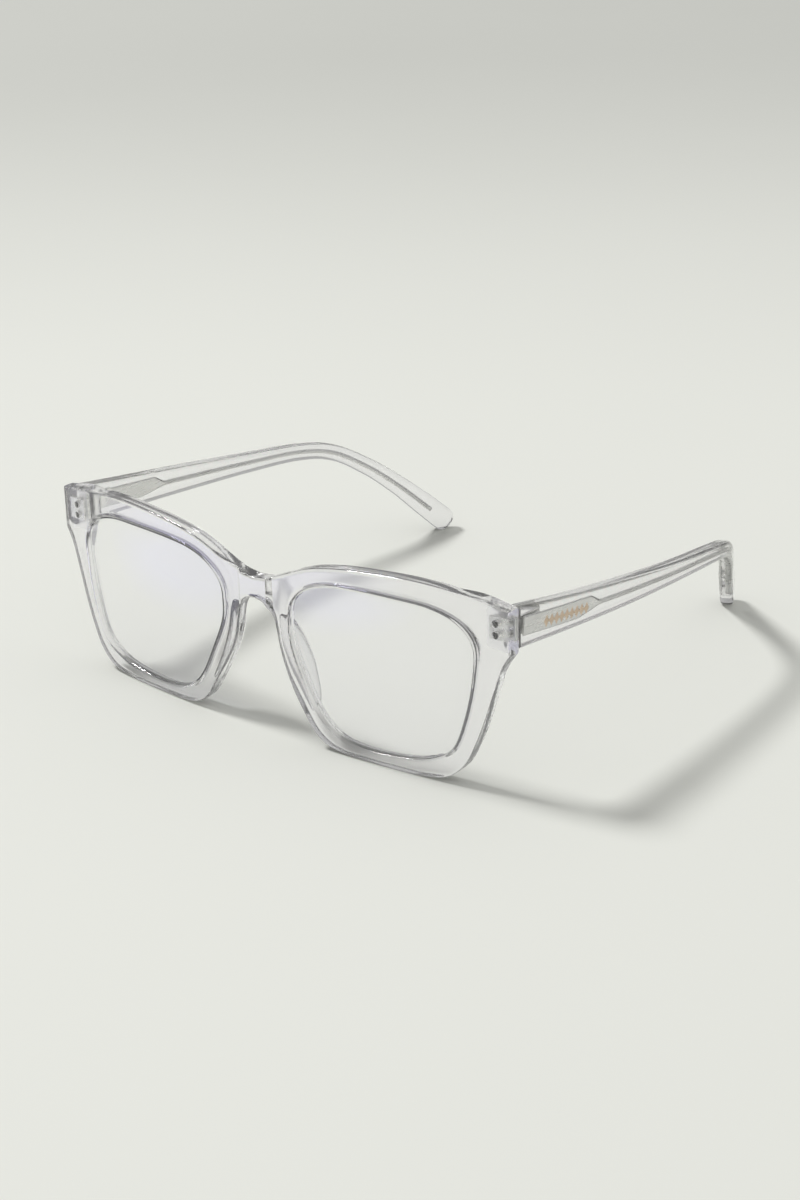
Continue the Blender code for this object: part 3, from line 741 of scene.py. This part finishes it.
def build_camera():
    data = bpy.data.cameras.new("camera")
    data.lens, data.sensor_width, data.sensor_fit = LENS_MM, SENSOR_MM, "AUTO"
    data.clip_start, data.clip_end = CLIP_START, CLIP_END
    camera = add_object("camera", data)
    back = Vector((math.sin(AZIMUTH) * math.cos(ELEVATION),
                   -math.cos(AZIMUTH) * math.cos(ELEVATION), math.sin(ELEVATION)))
    level = Vector((math.cos(AZIMUTH), math.sin(AZIMUTH), 0.0))
    upright = back.cross(level)
    right = level * math.cos(ROLL) + upright * math.sin(ROLL)
    up = upright * math.cos(ROLL) - level * math.sin(ROLL)
    x, y, z = CAMERA_PLACE
    turn = Matrix((right, up, back)).transposed().to_4x4()
    camera.matrix_world = Matrix.Translation((x * MM, (y + FRONT_Y) * MM, z * MM)) @ turn
    bpy.context.scene.camera = camera


def card_material():
    """A glow that fades out towards the edge of the card."""
    nodes = Nodes("card_glow")
    fall = nodes.add("ShaderNodeTexGradient", gradient_type="SPHERICAL")
    nodes.join(nodes.place(), fall.inputs["Vector"])
    glow = nodes.add("ShaderNodeEmission")
    glow.inputs["Color"].default_value = (*CARD_COLOUR, 1.0)
    glow.inputs["Strength"].default_value = CARD_STRENGTH
    clear = nodes.add("ShaderNodeBsdfTransparent")
    share = nodes.spread(fall.outputs["Fac"], 0.0, 1.0, 0.0, CARD_FADE)
    faded = nodes.mix_shader(share, clear.outputs["BSDF"], glow.outputs["Emission"])
    nodes.join(faded, nodes.out.inputs["Surface"])
    return nodes.material


def build_card():
    """A soft bluish card low in front, which shows only as a reflection, mostly in the lenses."""
    card = grid_object("card", CARD_CELLS, CARD_REACH, card_material())
    card.location, card.scale = CARD_PLACE, CARD_SIZE
    for ray in ("camera", "diffuse", "transmission", "shadow", "volume_scatter"):
        setattr(card, f"visible_{ray}", False)


def build_world():
    world = bpy.data.worlds.new("studio")
    world.use_nodes = True
    tree = world.node_tree
    place = tree.nodes.new("ShaderNodeTexCoord")
    split = tree.nodes.new("ShaderNodeSeparateXYZ")
    ramp = tree.nodes.new("ShaderNodeValToRGB")
    for element, level in zip(ramp.color_ramp.elements, (WORLD_LOW, WORLD_HIGH)):
        element.color = (level, level, level * WORLD_BLUE, 1.0)
    tree.links.new(place.outputs["Generated"], split.inputs["Vector"])
    tree.links.new(split.outputs["Z"], ramp.inputs["Fac"])
    tree.links.new(ramp.outputs["Color"], tree.nodes["Background"].inputs["Color"])
    bpy.context.scene.world = world


def build_studio():
    floor = grid_object("floor", FLOOR_CELLS, FLOOR_REACH, floor_material())
    floor.location.z = -FLOOR_DROP

    light = bpy.data.lights.new("key", "AREA")
    light.shape, light.size, light.energy = "DISK", KEY_SIZE, KEY_POWER
    light.color = KEY_COLOUR
    key = add_object("key", light)
    key.location = KEY_DIRECTION * KEY_DISTANCE
    key.rotation_mode = "QUATERNION"
    key.rotation_quaternion = KEY_DIRECTION.to_track_quat("Z", "Y")

    build_card()
    build_world()
    scene = bpy.context.scene
    scene.view_settings.view_transform = "Standard"
    scene.cycles.max_bounces = scene.cycles.transmission_bounces = BOUNCES
    scene.cycles.transparent_max_bounces = BOUNCES


def build_all():
    acetate = clear_material("clear_acetate", ACETATE_TINT, ACETATE_POLISH, ACETATE_IOR,
                             ACETATE_SHADES)
    soft = clear_material("pad_acetate", ACETATE_TINT, PAD_POLISH, ACETATE_IOR, ACETATE_SHADES)
    coated = clear_material("coated_lens", LENS_TINT, LENS_POLISH, LENS_IOR, LENS_SHADES,
                            COATING_LEVEL, COATING_TINT)
    steel = metal_material("nickel_steel", STEEL_TONES, STEEL_POLISH, STEEL_SCALE)
    gold = metal_material("gold_foil", GOLD_TONES, GOLD_POLISH, GOLD_SCALE)
    build_front(acetate)
    for side, sign in SIDES:
        arm = f"temple_arm_{side}"
        pad = make_piece(f"pad_{side}", nose_pad(), sign)
        finish_piece(pad, soft, "front", "clear_acetate", f"nose_pad_{side}")
        glass = make_piece(f"lens_coated_{side}", lens(), sign)
        finish_piece(glass, coated, "front", "coated_lens", f"lens_{side}")
        temple = make_piece(f"temple_acetate_{side}", temple_body(), sign)
        finish_piece(temple, acetate, arm, "clear_acetate", f"temple_{side}")
        core = make_piece(f"core_{side}", core_wire(), sign)
        finish_piece(core, steel, arm, "nickel_steel", f"core_wire_{side}")
        for part in HINGE_PARTS:
            soften_hinge_part(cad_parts[f"{part}_{side}"], steel)
    foil = make_piece("foil_ornament", foil_ornament())
    finish_piece(foil, gold, "temple_arm_left", "nickel_steel")


build_camera()
build_studio()
build_all()
